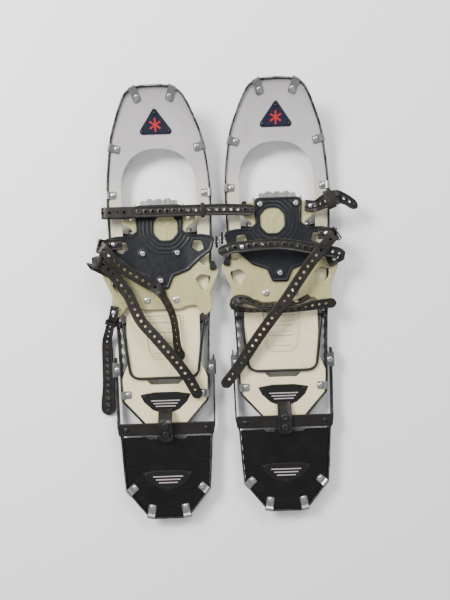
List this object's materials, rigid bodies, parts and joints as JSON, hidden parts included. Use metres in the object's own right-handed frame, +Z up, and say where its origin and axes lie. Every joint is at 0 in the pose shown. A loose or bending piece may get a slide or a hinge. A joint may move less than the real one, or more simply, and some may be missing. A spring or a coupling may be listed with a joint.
{
  "type": "snowshoes",
  "caption": "Pair of narrow metal-framed mountain snowshoes with pivoting strap bindings, wire heel lifters and clip-on flotation tails.",
  "frame": {"origin": "middle of the pair's box, on the ground that the frame teeth stand on", "axes": "+Z up, +Y from the tails toward the upturned toes, +X from the left shoe to the right shoe"},
  "size_m": [0.4898, 0.77, 0.078],
  "materials": {
    "frame": "black anodised, edges worn bare",
    "deck_light": "pale moulded sheet, glossy",
    "deck_black": "black moulded sheet, semi-gloss",
    "heel_pad": "cream, embossed",
    "harness": "translucent olive urethane, satin",
    "toe_plate": "black moulded, fine grain",
    "straps": "black elastomer, matte, dusty",
    "buckle": "black moulded",
    "crampon": "plated steel, scratched",
    "hardware": "plated steel, satin",
    "clips": "bare pressed aluminium, satin",
    "badge": "dark printed enamel",
    "bail": "black coated wire",
    "tail_band": "dark brown-black moulded"
  },
  "bodies": {
    "left_shoe": {"left_frame": "frame", "left_front_crossmember": "frame", "left_rear_crossmember": "frame", "left_deck": "deck_light", "left_heel_deck": "deck_light", "left_heel_pad": "heel_pad", "left_front_badge": "badge", "left_heel_badge": "badge", "left_tail_strap": "straps"},
    "left_binding": {"left_pivot_axle": "hardware", "left_crampon": "crampon", "left_harness_base": "harness", "left_toe_plate": "toe_plate", "left_toe_buckle": "buckle", "left_instep_buckle": "buckle", "left_forefoot_buckle": "buckle", "left_toe_strap": "straps", "left_forefoot_strap": "straps", "left_instep_strap": "straps", "left_heel_strap": "straps"},
    "left_heel_lifter": {"left_heel_lifter": "bail"},
    "left_tail": {"left_tail_frame": "frame", "left_tail_deck": "deck_black", "left_tail_band": "tail_band", "left_tail_hook_left": "clips", "left_tail_hook_right": "clips", "left_tail_badge": "badge"},
    "right_shoe": {"right_frame": "frame", "right_front_crossmember": "frame", "right_rear_crossmember": "frame", "right_deck": "deck_light", "right_heel_deck": "deck_light", "right_heel_pad": "heel_pad", "right_front_badge": "badge", "right_heel_badge": "badge", "right_tail_strap": "straps"},
    "right_binding": {"right_pivot_axle": "hardware", "right_crampon": "crampon", "right_harness_base": "harness", "right_toe_plate": "toe_plate", "right_toe_buckle": "buckle", "right_instep_buckle": "buckle", "right_forefoot_buckle": "buckle", "right_toe_strap": "straps", "right_forefoot_strap": "straps", "right_instep_strap": "straps", "right_heel_strap": "straps"},
    "right_heel_lifter": {"right_heel_lifter": "bail"},
    "right_tail": {"right_tail_frame": "frame", "right_tail_deck": "deck_black", "right_tail_band": "tail_band", "right_tail_hook_left": "clips", "right_tail_hook_right": "clips", "right_tail_badge": "badge"}
  },
  "joints": [
    {"name": "right_shoe_slide", "type": "slide", "parent": "left_shoe", "child": "right_shoe", "axis": [1, 0, 0], "range_m": [0, 0.25]},
    {"name": "left_binding_pivot", "type": "hinge", "parent": "left_shoe", "child": "left_binding", "pos_m": [-0.11483, 0.13035, 0.022], "axis": [-1, 0, 0], "range_deg": [0, 85], "deforming": ["left_toe_strap", "left_forefoot_strap", "left_instep_strap", "left_heel_strap"]},
    {"name": "left_heel_lifter_hinge", "type": "hinge", "parent": "left_shoe", "child": "left_heel_lifter", "pos_m": [-0.11483, -0.03365, 0.022], "axis": [-1, 0, 0], "range_deg": [0, 95], "deforming": ["left_toe_strap", "left_forefoot_strap", "left_instep_strap", "left_heel_strap"]},
    {"name": "left_tail_slide", "type": "slide", "parent": "left_shoe", "child": "left_tail", "axis": [0, -1, 0], "range_m": [0, 0.16]},
    {"name": "right_binding_pivot", "type": "hinge", "parent": "right_shoe", "child": "right_binding", "pos_m": [0.09847, 0.13705, 0.022], "axis": [-1, 0, 0], "range_deg": [0, 85], "deforming": ["right_toe_strap", "right_forefoot_strap", "right_instep_strap", "right_heel_strap"]},
    {"name": "right_heel_lifter_hinge", "type": "hinge", "parent": "right_shoe", "child": "right_heel_lifter", "pos_m": [0.09847, -0.02695, 0.022], "axis": [-1, 0, 0], "range_deg": [0, 95], "deforming": ["right_toe_strap", "right_forefoot_strap", "right_instep_strap", "right_heel_strap"]},
    {"name": "right_tail_slide", "type": "slide", "parent": "right_shoe", "child": "right_tail", "axis": [0, -1, 0], "range_m": [0, 0.16]}
  ]
}
